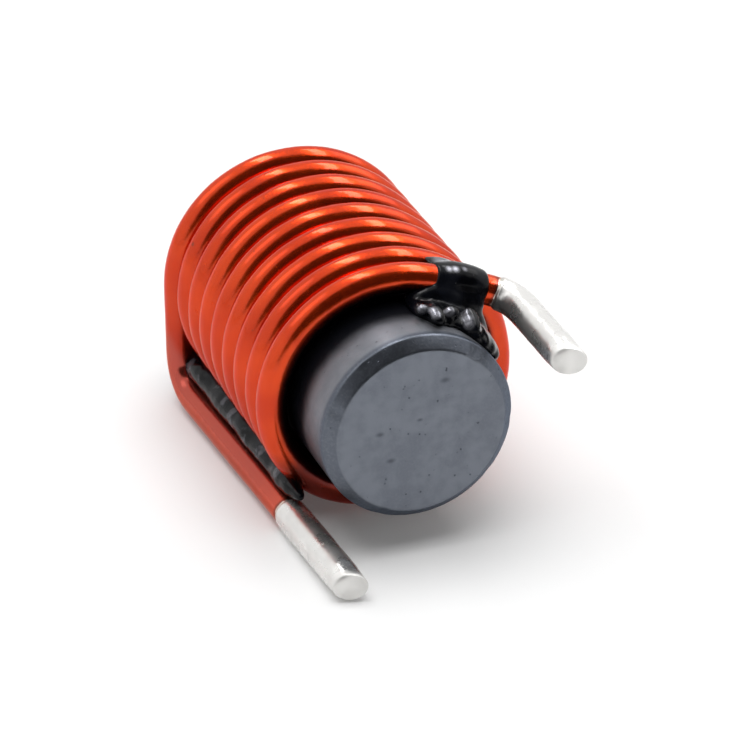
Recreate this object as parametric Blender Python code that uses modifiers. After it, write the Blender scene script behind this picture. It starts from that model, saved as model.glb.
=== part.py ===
"""Rod-core power inductor: one thick enamelled wire wound on a bare ferrite rod.

The wire is a single left-handed helix. Its rear end drops off the last turn, bends and
runs back under the coil to the front, and its front end leaves the first turn sideways
and bends forward, so that both tinned ends stand out past the same face of the rod as
pins. Two runs of black glue hold the winding to the rod and the long lead to the coil.

Values are millimetres and degrees. The rod lies along Y with its front face on the plane
Y = 0 and its centre on the origin. The pins point to -Y, X is to the right, Z is up, and
the part lies on its coil and on the pin of its long lead. A clock angle is measured from
12 o'clock, clockwise as seen from the front.
"""

import math

import bmesh
import bpy
from mathutils import Matrix, Vector

MM = 0.001

# Ferrite rod
ROD_DIAMETER = 8.0
ROD_LENGTH = 18.0
ROD_CHAMFER = 0.47
ROD_SIDES = 96

# Wire
WIRE_DIAMETER = 1.25
ENAMEL_THICKNESS = 0.03
WIRE_SIDES = 12

# Coil
FULL_TURNS = 8
TURN_GAP = 0.16
CORE_CLEARANCE = 0.225
COIL_SETBACK = 3.73
COIL_OFFSET_X = 0.10
COIL_OFFSET_Z = 0.05
FRONT_TURN_SLACK = 0.12
REAR_TURN_SLACK = 0.10
SEGMENTS_PER_TURN = 32

# Long lead, from the rear of the coil to the front
START_CLOCK = 270.0
LONG_LEAD_GAP_REAR = 0.80
LONG_LEAD_GAP_FRONT = 0.43
REAR_BEND_RADIUS = 1.35

# Short lead, from the front turn sideways and forward
EXIT_CLOCK = 20.0
SHORT_LEAD_RUN = 3.6
FRONT_BEND_RADIUS = 1.2

# Pins
PIN_STANDOFF = 2.4
STRIPPED_LENGTH = 6.1
SOLDER_THICKNESS = 0.075
SOLDER_GAP = 0.02
SOLDER_CAP = 0.15
PIN_END_ROUNDING = 0.12

# Glue
GLUE_GAP = 0.03
GLUE_FACET = 0.2
FRONT_GLUE_FROM_CLOCK = 9.0
FRONT_GLUE_TO_CLOCK = 60.0
FRONT_GLUE_SETBACK = 1.15
FRONT_GLUE_SKEW = 0.90
FRONT_GLUE_RIPPLE = 0.18
FRONT_GLUE_RUN_WIDTH = 0.42
FRONT_GLUE_RUN_HEIGHT = 0.40
FRONT_GLUE_WALL_HEIGHT = 0.95
FRONT_GLUE_WALL_DEPTH = 0.50
FRONT_GLUE_LUMPS = 8
SHEATH_THICKNESS = 0.17
SHEATH_START = 0.15
SHEATH_END = 2.45
SIDE_GLUE_HALF_WIDTH_REAR = 0.58
SIDE_GLUE_HALF_WIDTH_FRONT = 0.36
SIDE_GLUE_RISE = 3.0
SIDE_GLUE_REACH = 0.75
SIDE_GLUE_LUMPS = 20

# Worked out from the values above
ROD_RADIUS = ROD_DIAMETER / 2
WIRE_RADIUS = WIRE_DIAMETER / 2
COIL_RADIUS = ROD_RADIUS + CORE_CLEARANCE + WIRE_RADIUS
COIL_PITCH = WIRE_DIAMETER + TURN_GAP
COIL_OUTER_RADIUS = COIL_RADIUS + WIRE_RADIUS
CONDUCTOR_RADIUS = WIRE_RADIUS - ENAMEL_THICKNESS
SOLDER_BORE_RADIUS = CONDUCTOR_RADIUS + SOLDER_GAP
PIN_RADIUS = SOLDER_BORE_RADIUS + SOLDER_THICKNESS
PIN_TIP_Y = -PIN_STANDOFF
START_TURN = -FULL_TURNS - (360 - START_CLOCK) / 360
EXIT_TURN = EXIT_CLOCK / 360
COIL_BOTTOM = COIL_OFFSET_Z - COIL_OUTER_RADIUS - FRONT_TURN_SLACK
LONG_LEAD_Z = COIL_BOTTOM + PIN_RADIUS
COIL_REAR_Y = COIL_SETBACK - COIL_PITCH * START_TURN


def clear_scene():
    """Removes every object that the file starts with."""
    for obj in list(bpy.data.objects):
        bpy.data.objects.remove(obj, do_unlink=True)


def new_collection(name):
    """A collection linked to the scene."""
    collection = bpy.data.collections.new(name)
    bpy.context.scene.collection.children.link(collection)
    return collection


def principled(name, colour, roughness, metallic=0.0, coat=0.0):
    """A Principled BSDF material."""
    material = bpy.data.materials.new(name)
    material.use_nodes = True
    shader = material.node_tree.nodes["Principled BSDF"]
    shader.inputs["Base Color"].default_value = (*colour, 1.0)
    shader.inputs["Roughness"].default_value = roughness
    shader.inputs["Metallic"].default_value = metallic
    shader.inputs["Coat Weight"].default_value = coat
    material.diffuse_color = (*colour, 1.0)
    return material


def smooth_step(share):
    """Eases 0 to 1."""
    share = min(max(share, 0.0), 1.0)
    return share * share * (3 - 2 * share)


def on_clock(radius, clock, y):
    """The point at a radius and a clock angle round the coil's own axis."""
    angle = math.radians(clock)
    x = COIL_OFFSET_X + radius * math.sin(angle)
    z = COIL_OFFSET_Z + radius * math.cos(angle)
    return Vector((x, y, z))


def coil_point(turn):
    """A point of the wire's centre line, turn 0 being 12 o'clock of the front turn.

    The front turn stands a little off the rod at its bottom, and the rear end springs out.
    """
    front_share = min(max((turn + 1.15) / 1.15, 0.0), 1.0)
    radius = COIL_RADIUS + FRONT_TURN_SLACK * math.sin(math.pi * front_share) ** 2
    radius += REAR_TURN_SLACK * smooth_step((START_TURN + 0.35 - turn) / 0.35)
    return on_clock(radius, 360 * turn, COIL_SETBACK - COIL_PITCH * turn)


def long_lead_gap(y):
    """The gap between the long lead and the turns, which widens towards the rear."""
    share = (y - COIL_SETBACK) / (COIL_REAR_Y - COIL_SETBACK)
    return LONG_LEAD_GAP_FRONT + (LONG_LEAD_GAP_REAR - LONG_LEAD_GAP_FRONT) * share


def long_lead_point(y):
    """The centre of the long lead, which lies on the same floor as the coil."""
    reach = COIL_OUTER_RADIUS + long_lead_gap(y) + WIRE_RADIUS
    drop = COIL_OFFSET_Z - LONG_LEAD_Z
    return Vector((COIL_OFFSET_X - math.sqrt(reach * reach - drop * drop), y, LONG_LEAD_Z))


def straight(start, end, count):
    """Points strictly between two ends."""
    return [start.lerp(end, step / count) for step in range(1, count)]


def rounded(before, corner, after, radius, count):
    """The arc that rounds a corner, from the side of one neighbour to the other."""
    inward = (before - corner).normalized()
    outward = (after - corner).normalized()
    half = inward.angle(outward) / 2
    setback = radius / math.tan(half)
    centre = corner + (inward + outward).normalized() * (radius / math.sin(half))
    first = (corner + inward * setback - centre).normalized()
    last = (corner + outward * setback - centre).normalized()
    return [centre + first.slerp(last, step / count) * radius for step in range(count + 1)]


def short_lead_direction():
    """The way the wire leaves the front turn, square to the radius at the exit."""
    exit_angle = math.radians(EXIT_CLOCK)
    return Vector((math.cos(exit_angle), 0.0, -math.sin(exit_angle)))


def coil_path():
    """The turns, from the rear to the exit of the short lead."""
    count = math.ceil((EXIT_TURN - START_TURN) * SEGMENTS_PER_TURN)
    span = (EXIT_TURN - START_TURN) / count
    return [coil_point(START_TURN + span * step) for step in range(count + 1)]


def long_lead_path():
    """From the long lead's tip back under the coil, round its bend and up to the coil."""
    tip = long_lead_point(PIN_TIP_Y)
    corner = long_lead_point(COIL_REAR_Y + TURN_GAP)
    coil_start = coil_point(START_TURN)
    bend = rounded(tip, corner, coil_start, REAR_BEND_RADIUS, 10)
    return [tip] + straight(tip, bend[0], 9) + bend + straight(bend[-1], coil_start, 4)


def short_lead_path():
    """From the exit off the front turn sideways, round its bend and forward to the tip."""
    coil_end = coil_point(EXIT_TURN)
    corner = coil_end + short_lead_direction() * SHORT_LEAD_RUN
    tip = Vector((corner.x, PIN_TIP_Y, corner.z))
    bend = rounded(coil_end, corner, tip, FRONT_BEND_RADIUS, 8)
    return straight(coil_end, bend[0], 3) + bend + straight(bend[-1], tip, 4) + [tip]


def cut_path(points, start, end):
    """The stretch of a path between two distances along it, with a point at each cut."""
    taken = []
    walked = 0.0
    for here, there in zip(points, points[1:]):
        step = (there - here).length
        if start <= walked <= end:
            taken.append(here.copy())
        for cut in (start, end):
            if walked < cut < walked + step:
                taken.append(here.lerp(there, (cut - walked) / step))
        walked += step
    if walked <= end:
        taken.append(points[-1].copy())
    return taken


def path_length(points):
    """Length along a path."""
    return sum((there - here).length for here, there in zip(points, points[1:]))


def stations(points, radius):
    """Pairs each point of a path with the tube's radius there."""
    return [(point, radius) for point in points]


def swept_tube(name, path, sides=WIRE_SIDES):
    """A closed tube along a path of (point, radius) stations, as a mesh object."""
    curve = bpy.data.curves.new(name + "_path", "CURVE")
    curve.dimensions = "3D"
    curve.bevel_depth = MM
    curve.bevel_resolution = (sides - 4) // 2
    curve.use_fill_caps = True
    spline = curve.splines.new("POLY")
    spline.points.add(len(path) - 1)
    for target, (point, radius) in zip(spline.points, path):
        target.co = (*(point * MM), 1.0)
        target.radius = radius
    source = bpy.data.objects.new(name + "_path", curve)
    bpy.context.scene.collection.objects.link(source)
    evaluated = source.evaluated_get(bpy.context.evaluated_depsgraph_get())
    mesh = bpy.data.meshes.new_from_object(evaluated)
    mesh.name = name
    work = bmesh.new()
    work.from_mesh(mesh)
    bmesh.ops.remove_doubles(work, verts=work.verts, dist=0.001 * MM)
    bmesh.ops.recalc_face_normals(work, faces=work.faces)
    work.to_mesh(mesh)
    work.free()
    tube = bpy.data.objects.new(name, mesh)
    tube.matrix_world = source.matrix_world
    bpy.data.objects.remove(source, do_unlink=True)
    bpy.data.curves.remove(curve)
    return tube


def rod(name, radius, length, front_y):
    """A cylinder along Y that starts at front_y."""
    mesh = bpy.data.meshes.new(name)
    work = bmesh.new()
    bmesh.ops.create_cone(
        work,
        cap_ends=True,
        segments=ROD_SIDES,
        radius1=radius * MM,
        radius2=radius * MM,
        depth=length * MM,
    )
    bmesh.ops.rotate(work, verts=work.verts, matrix=Matrix.Rotation(math.radians(90), 3, "X"))
    work.to_mesh(mesh)
    work.free()
    obj = bpy.data.objects.new(name, mesh)
    obj.location = (0.0, (front_y + length / 2) * MM, 0.0)
    return obj


def merged_lumps(name, lumps):
    """One smooth body from overlapping ellipsoids, each a (centre, radii, turn) triple."""
    mesh = bpy.data.meshes.new(name)
    work = bmesh.new()
    for centre, radii, turn in lumps:
        stretch = Matrix.Diagonal((*radii, 1.0))
        spin = Matrix.Rotation(turn, 4, "Y")
        place = Matrix.Scale(MM, 4) @ Matrix.Translation(centre) @ spin @ stretch
        bmesh.ops.create_uvsphere(work, u_segments=24, v_segments=16, radius=1.0, matrix=place)
    work.to_mesh(mesh)
    work.free()
    obj = bpy.data.objects.new(name, mesh)
    remesh = obj.modifiers.new("Merge", "REMESH")
    remesh.mode = "VOXEL"
    remesh.voxel_size = GLUE_FACET * MM
    remesh.adaptivity = 0.0
    soften = obj.modifiers.new("Soften", "SMOOTH")
    soften.factor = 0.5
    soften.iterations = 4
    return obj


def combine(obj, other, operation):
    """Takes one body out of another, or joins the two."""
    boolean = obj.modifiers.new(operation.title() + " " + other.name, "BOOLEAN")
    boolean.operation = operation
    boolean.solver = "EXACT"
    boolean.object = other


def bake(obj, collection):
    """Turns an object's modifiers into its mesh."""
    collection.objects.link(obj)
    evaluated = obj.evaluated_get(bpy.context.evaluated_depsgraph_get())
    mesh = bpy.data.meshes.new_from_object(evaluated)
    mesh.name = obj.name
    obj.modifiers.clear()
    obj.data = mesh
    collection.objects.unlink(obj)


def islands(work):
    """The separate bodies of a mesh, as lists of faces."""
    left = set(work.faces)
    found = []
    while left:
        body = [left.pop()]
        for face in body:
            for edge in face.edges:
                for other in edge.link_faces:
                    if other in left:
                        left.remove(other)
                        body.append(other)
        found.append(body)
    return found


def keep_largest_body(obj):
    """Drops the slivers that a cut leaves beside the main body."""
    work = bmesh.new()
    work.from_mesh(obj.data)
    bmesh.ops.remove_doubles(work, verts=work.verts, dist=0.002 * MM)
    bmesh.ops.dissolve_degenerate(work, edges=work.edges, dist=0.002 * MM)
    bodies = sorted(islands(work), key=lambda body: sum(face.calc_area() for face in body))
    for body in bodies[:-1]:
        bmesh.ops.delete(work, geom=body, context="FACES")
    bmesh.ops.triangulate(work, faces=work.faces)
    work.to_mesh(obj.data)
    work.free()


def finish(obj, material, parent, collection, sharp_degrees=40):
    """Gives an object its material, its shading and its place in the assembly."""
    obj.data.materials.clear()
    obj.data.materials.append(material)
    obj.data.shade_smooth()
    obj.data.set_sharp_from_angle(angle=math.radians(sharp_degrees))
    obj.parent = parent
    collection.objects.link(obj)


def hide_cutter(obj, collection):
    """Keeps a cutter out of the render."""
    obj.hide_render = True
    obj.display_type = "WIRE"
    collection.objects.link(obj)


def build_core():
    """The ferrite rod with a chamfer round each end."""
    core = rod("ferrite_core", ROD_RADIUS, ROD_LENGTH, 0.0)
    chamfer = core.modifiers.new("Chamfer", "BEVEL")
    chamfer.width = ROD_CHAMFER * MM
    chamfer.segments = 1
    chamfer.limit_method = "ANGLE"
    chamfer.angle_limit = math.radians(40)
    return core


def build_winding(path):
    """The wire: full width under its enamel, thinner where both ends are stripped."""
    length = path_length(path)
    inner = SOLDER_CAP + SOLDER_GAP
    bare = STRIPPED_LENGTH - ENAMEL_THICKNESS
    wire = stations(cut_path(path, inner, bare), CONDUCTOR_RADIUS)
    wire += stations(cut_path(path, STRIPPED_LENGTH, length - STRIPPED_LENGTH), WIRE_RADIUS)
    wire += stations(cut_path(path, length - bare, length - inner), CONDUCTOR_RADIUS)
    return swept_tube("winding", wire)


def build_solder(name, path):
    """The solder coat of the pin that a path starts at: a sleeve closed at the tip."""
    reach = STRIPPED_LENGTH - ENAMEL_THICKNESS - SOLDER_GAP
    outer = swept_tube(name, stations(cut_path(path, 0.0, reach), PIN_RADIUS))
    rounding = outer.modifiers.new("Round end", "BEVEL")
    rounding.width = PIN_END_ROUNDING * MM
    rounding.segments = 2
    rounding.limit_method = "ANGLE"
    rounding.angle_limit = math.radians(60)
    bore = stations(cut_path(path, SOLDER_CAP, STRIPPED_LENGTH + SOLDER_CAP), SOLDER_BORE_RADIUS)
    return outer, swept_tube(name + "_bore", bore)


def build_wire_clearance(path):
    """The space the glue keeps free: the wire and both solder coats with a gap round them."""
    length = path_length(path)
    far = length - STRIPPED_LENGTH
    space = stations(cut_path(path, 0.0, STRIPPED_LENGTH), PIN_RADIUS + GLUE_GAP)
    space += stations(cut_path(path, STRIPPED_LENGTH, far), WIRE_RADIUS + GLUE_GAP)
    space += stations(cut_path(path, far, length), PIN_RADIUS + GLUE_GAP)
    return swept_tube("wire_clearance", space)


def front_glue_lumps():
    """Glue run between the front turn, the rod and the short lead, and round that lead."""
    lumps = []
    exit_point = coil_point(EXIT_TURN)
    sideways = short_lead_direction()

    # Runs that lie on the rod in front of the turn, and the wall of glue behind them
    span = FRONT_GLUE_TO_CLOCK - FRONT_GLUE_FROM_CLOCK
    turn_front = COIL_SETBACK - WIRE_RADIUS
    back = turn_front + FRONT_GLUE_RUN_HEIGHT
    for index in range(FRONT_GLUE_LUMPS):
        share = index / (FRONT_GLUE_LUMPS - 1)
        clock = FRONT_GLUE_FROM_CLOCK + span * share
        spin = math.radians(clock)
        ripple = FRONT_GLUE_RIPPLE * math.sin(2.3 * index + 0.6)
        skew = FRONT_GLUE_SKEW * (smooth_step(1 - 3 * share) + smooth_step(3 * share - 2))
        front = FRONT_GLUE_SETBACK + ripple + skew
        run = on_clock(ROD_RADIUS, clock, (back + front) / 2)
        lumps.append((run, (FRONT_GLUE_RUN_WIDTH, (back - front) / 2, FRONT_GLUE_RUN_HEIGHT), spin))
        height = FRONT_GLUE_WALL_HEIGHT * (0.5 + 0.5 * math.sin(math.pi * share))
        wall = on_clock(ROD_RADIUS + height / 2, clock, turn_front)
        lumps.append((wall, (FRONT_GLUE_WALL_DEPTH, FRONT_GLUE_WALL_DEPTH, height * 0.6), spin))

    # Fill between the short lead and the rod under it
    count = 6
    for index in range(count):
        reach = SHEATH_START + (SHEATH_END - SHEATH_START) * index / (count - 1)
        on_lead = exit_point + sideways * reach
        axis = Vector((COIL_OFFSET_X, on_lead.y, COIL_OFFSET_Z))
        on_rod = axis + (on_lead - axis).normalized() * ROD_RADIUS
        height = (on_lead - on_rod).length / 2 + WIRE_RADIUS * 0.5
        middle = (on_lead + on_rod) / 2 - Vector((0.0, WIRE_RADIUS * 0.3, 0.0))
        size = (WIRE_RADIUS * 1.1, WIRE_RADIUS * 1.4, height)
        lumps.append((middle, size, math.radians(EXIT_CLOCK)))
    return lumps


def build_glue_sheath():
    """The coat of glue drawn along the short lead, thin at both ends."""
    stretch = cut_path([coil_point(EXIT_TURN)] + short_lead_path(), SHEATH_START, SHEATH_END)
    first, last = stretch[0], stretch[-1]
    count = 9
    coat = []
    for index in range(count):
        share = index / (count - 1)
        swell = math.sin(math.pi * (0.1 + 0.8 * share))
        radius = WIRE_RADIUS + GLUE_GAP + SHEATH_THICKNESS * swell
        coat.append((first.lerp(last, share), radius))
    return swept_tube("glue_sheath", coat)


def side_glue_lumps():
    """The strip of glue along the long lead, between it and the turns."""
    lumps = []
    first_y = COIL_SETBACK + WIRE_RADIUS
    last_y = COIL_REAR_Y + SIDE_GLUE_REACH
    spacing = (last_y - first_y) / (SIDE_GLUE_LUMPS - 1)
    for index in range(SIDE_GLUE_LUMPS):
        y = first_y + spacing * index
        share = index / (SIDE_GLUE_LUMPS - 1)
        gap = long_lead_gap(y)
        lead = long_lead_point(y)
        angle = math.atan2(lead.x - COIL_OFFSET_X, lead.z - COIL_OFFSET_Z)
        clock = math.degrees(angle) + SIDE_GLUE_RISE
        centre = on_clock(COIL_OUTER_RADIUS + gap / 2, clock, y)
        width = SIDE_GLUE_HALF_WIDTH_REAR * share + SIDE_GLUE_HALF_WIDTH_FRONT * (1 - share)
        width *= 1.0 + 0.16 * math.sin(1.9 * index)
        depth = (gap / 2 + WIRE_RADIUS * 0.4) * (1.0 + 0.08 * math.sin(2.7 * index))
        lumps.append((centre, (width, spacing, depth), math.radians(clock)))
    return lumps


def main():
    """Builds the inductor."""
    clear_scene()
    parts = new_collection("power_inductor")
    cutters = new_collection("cutters")
    enamel = principled("orange_enamel", (0.62, 0.09, 0.02), 0.22, 0.35, 0.6)
    ferrite = principled("grey_ferrite", (0.13, 0.145, 0.165), 0.5)
    solder = principled("tinned_copper", (0.86, 0.86, 0.84), 0.22, 1.0)
    epoxy = principled("black_glue", (0.008, 0.009, 0.012), 0.12)

    assembly = bpy.data.objects.new("inductor_assembly", None)
    parts.objects.link(assembly)

    path = long_lead_path() + coil_path() + short_lead_path()
    core = build_core()
    finish(core, ferrite, assembly, parts)
    winding = build_winding(path)
    finish(winding, enamel, assembly, parts)

    for name, route in (("solder_long_pin", path), ("solder_short_pin", path[::-1])):
        sleeve, bore = build_solder(name, route)
        hide_cutter(bore, cutters)
        combine(sleeve, bore, "DIFFERENCE")
        finish(sleeve, solder, assembly, parts)

    clear_wire = build_wire_clearance(path)
    hide_cutter(clear_wire, cutters)
    clear_rod = rod("rod_clearance", ROD_RADIUS + GLUE_GAP, ROD_LENGTH, 0.0)
    hide_cutter(clear_rod, cutters)
    sheath = build_glue_sheath()
    hide_cutter(sheath, cutters)

    front_glue = merged_lumps("glue_front", front_glue_lumps())
    combine(front_glue, sheath, "UNION")
    side_glue = merged_lumps("glue_side", side_glue_lumps())
    for glue in (front_glue, side_glue):
        combine(glue, clear_wire, "DIFFERENCE")
        combine(glue, clear_rod, "DIFFERENCE")
        bake(glue, parts)
        keep_largest_body(glue)
        finish(glue, epoxy, assembly, parts)


if __name__ == "__main__":
    main()
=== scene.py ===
"""Dresses a rod-core power inductor: its winding, tinned pins, ferrite rod and black glue.

Sizes are in millimetres until a mesh is written, and they repeat the part's own.
"""

import logging
import math
from collections.abc import Iterator
from dataclasses import dataclass, field
from enum import Enum
from functools import cached_property
from itertools import accumulate

import bmesh
import bpy
import numpy as np
from mathutils import Matrix, Vector, noise


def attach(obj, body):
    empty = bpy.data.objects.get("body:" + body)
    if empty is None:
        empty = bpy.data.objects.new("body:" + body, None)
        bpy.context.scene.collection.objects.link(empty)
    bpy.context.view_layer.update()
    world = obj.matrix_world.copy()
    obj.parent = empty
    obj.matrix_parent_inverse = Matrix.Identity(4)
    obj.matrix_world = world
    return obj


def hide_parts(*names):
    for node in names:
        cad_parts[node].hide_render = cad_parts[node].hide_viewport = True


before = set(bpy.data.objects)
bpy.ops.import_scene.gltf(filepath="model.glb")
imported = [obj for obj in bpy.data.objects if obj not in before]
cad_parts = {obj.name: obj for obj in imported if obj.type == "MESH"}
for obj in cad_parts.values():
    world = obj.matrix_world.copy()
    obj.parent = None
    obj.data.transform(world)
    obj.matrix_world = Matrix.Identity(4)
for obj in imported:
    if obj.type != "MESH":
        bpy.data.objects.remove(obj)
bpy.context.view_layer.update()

MM = 0.001
LOG = logging.getLogger("power_inductor")

Material = bpy.types.Material
Mesh = bpy.types.Mesh
Object = bpy.types.Object
Socket = bpy.types.NodeSocket
Value = Socket | float
Colour = tuple[float, float, float]
Span = tuple[float, float]
WHITE = (1.0, 1.0, 1.0, 1.0)

# A mix node has several sockets of one name, so they are told apart by number
MIX_SHARE, MIX_NUMBERS, MIX_COLOURS, MIXED_NUMBER, MIXED_COLOUR = 0, (2, 3), (6, 7), 0, 2


class LeadEnd(Enum):
    """The two stripped ends of the wire."""

    LONG = "long"
    SHORT = "short"

    @property
    def seed(self) -> float:
        """Which pattern the tin's ripples follow."""
        return 11.0 if self is LeadEnd.LONG else 23.0


class Slot(Enum):
    """The finishes that the part's record names."""

    FERRITE = "ferrite"
    ENAMEL = "enamelled_wire"
    TIN = "tin"
    GLUE = "glue"


@dataclass(frozen=True)
class Mark:
    """A small blemish: where it is and its radius."""

    x: float
    y: float
    z: float
    size: float

    @property
    def centre(self) -> Vector:
        """The middle of the blemish."""
        return Vector((self.x, self.y, self.z))


@dataclass
class NodeBoard:
    """A node tree that is being wired up."""

    tree: bpy.types.NodeTree

    def fill(self, node: bpy.types.Node, inputs: dict) -> None:
        """Fills a node's sockets.

        Args:
            node: The node.
            inputs: Sockets by name or number, each with a constant or with an output to link.
        """
        for key, value in inputs.items():
            if isinstance(value, Socket):
                self.tree.links.new(value, node.inputs[key])
            else:
                node.inputs[key].default_value = value

    def add(self, kind: str, inputs: dict | None = None, **settings: object) -> bpy.types.Node:
        """Adds a node and fills its sockets.

        Args:
            kind: The node's type name.
            inputs: Sockets by name or number.
            settings: The node's own properties.

        Returns:
            The new node.
        """
        node = self.tree.nodes.new(kind)
        for name, value in settings.items():
            setattr(node, name, value)
        self.fill(node, inputs or {})
        return node

    def out(self, kind: str, inputs: dict | None = None, **settings: object) -> Socket:
        """Adds a node as add does and returns its first output."""
        return self.add(kind, inputs, **settings).outputs[0]

    def calc(self, operation: str, *values: Value) -> Socket:
        """Adds one step of arithmetic on numbers and returns its result."""
        return self.out("ShaderNodeMath", dict(enumerate(values)), operation=operation)

    def plus(self, value: Value, other: Value) -> Socket:
        """Adds two numbers."""
        return self.calc("ADD", value, other)

    def times(self, value: Value, *factors: Value) -> Value:
        """Multiplies numbers.

        Args:
            value: The first number.
            factors: What it is multiplied by, one after another.

        Returns:
            The product.
        """
        for factor in factors:
            value = self.calc("MULTIPLY", value, factor)
        return value

    def opposite(self, share: Value) -> Socket:
        """1 less a share."""
        return self.calc("SUBTRACT", 1.0, share)

    def vector(self, operation: str, inputs: dict, output: str = "Vector") -> Socket:
        """Adds one step of vector arithmetic and returns its result."""
        return self.add("ShaderNodeVectorMath", inputs, operation=operation).outputs[output]

    def noise(self, scale: float, detail: float = 2.0, where: Socket | None = None) -> Socket:
        """Adds a noise pattern, about 0.5 in the mean, over the object or over other coordinates."""
        inputs = {"Vector": self.place if where is None else where, "Scale": scale, "Detail": detail}
        return self.out("ShaderNodeTexNoise", inputs)

    def specks(self, scale: float, size: float, core: float) -> Socket:
        """Scattered dots: 1 within the core of each, fading to 0 at its size."""
        inputs = {"Vector": self.place, "Scale": scale, "Randomness": 1.0}
        return self.ease(self.out("ShaderNodeTexVoronoi", inputs), size, core)

    def ease(self, value: Socket, low: float, high: float) -> Socket:
        """Turns the range from low to high into 0 to 1 with soft ends; high may be the smaller one."""
        inputs = {"Value": value, "From Min": low, "From Max": high}
        return self.out("ShaderNodeMapRange", inputs, interpolation_type="SMOOTHSTEP")

    def spread(self, value: Socket, low: float, high: float) -> Socket:
        """Turns 0 to 1 into the range from low to high."""
        return self.out("ShaderNodeMapRange", {"Value": value, "To Min": low, "To Max": high})

    def swing(self, value: Socket, reach: float) -> Socket:
        """Turns 0 to 1 into as much below zero as above it."""
        return self.spread(value, -reach, reach)

    def coats(self, colour: Socket | Colour, *coats: tuple) -> Socket:
        """Lays colours one over another.

        Args:
            colour: The lowest colour.
            coats: Pairs of how strong a coat is and its colour.

        Returns:
            The mixed colour.
        """
        for share, tone in coats:
            node = self.add("ShaderNodeMix", {MIX_SHARE: share}, data_type="RGBA")
            for key, value in zip(MIX_COLOURS, (colour, tone)):
                self.fill(node, {key: value if isinstance(value, Socket) else (*value, 1.0)})
            colour = node.outputs[MIXED_COLOUR]
        return colour

    def either(self, share: Socket, number: Value, other: Value) -> Socket:
        """The first number where the share is 0, and the other where it is 1."""
        inputs = dict(zip((MIX_SHARE, *MIX_NUMBERS), (share, number, other)))
        return self.add("ShaderNodeMix", inputs).outputs[MIXED_NUMBER]

    def bump(self, height: Socket, distance: float, strength: float, under: Socket | None = None) -> Socket:
        """Adds a bump, in millimetres, over the bent normal under it if there is one."""
        inputs = {"Height": height, "Distance": distance * MM, "Strength": strength}
        return self.out("ShaderNodeBump", inputs if under is None else {**inputs, "Normal": under})

    @cached_property
    def place(self) -> Socket:
        """The place on the object, in millimetres."""
        place = self.add("ShaderNodeTexCoord").outputs["Object"]
        return self.vector("SCALE", {0: place, "Scale": 1.0 / MM})

    def axes(self, where: Socket) -> tuple[Socket, ...]:
        """A place's X, Y and Z."""
        return tuple(self.add("ShaderNodeSeparateXYZ", {0: where}).outputs)

    def from_axis(self, where: Socket) -> Socket:
        """A place's distance from the Y axis."""
        flat = self.vector("MULTIPLY", {0: where, 1: (1.0, 0.0, 1.0)})
        return self.vector("LENGTH", {0: flat}, "Value")

    def stored(self, name: str, output: str) -> Socket:
        """Reads an attribute that the mesh carries."""
        return self.add("ShaderNodeAttribute", attribute_name=name).outputs[output]

    def spot(self, mark: Mark, edge: float, grown: float = 1.0) -> Socket:
        """A mark as a round spot: 0 from its size outward, 1 within all but the edge's share of it."""
        away = self.vector("DISTANCE", {0: self.place, 1: mark.centre}, "Value")
        return self.ease(away, mark.size * grown, mark.size * grown * (1.0 - edge))


@dataclass(frozen=True)
class Finish:
    """What every finish shares; its spans say where a fade starts and where it is full, in millimetres."""

    name: str
    slot: Slot

    def build(self) -> Material:
        """Makes the material.

        Returns:
            The new material.
        """
        material = bpy.data.materials.new(self.name)
        material.use_nodes = True
        board = NodeBoard(material.node_tree)
        board.fill(material.node_tree.nodes["Principled BSDF"], self.sockets(board))
        return material

    def sockets(self, board: NodeBoard) -> dict:
        """What goes into the shader's sockets."""
        raise NotImplementedError


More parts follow.
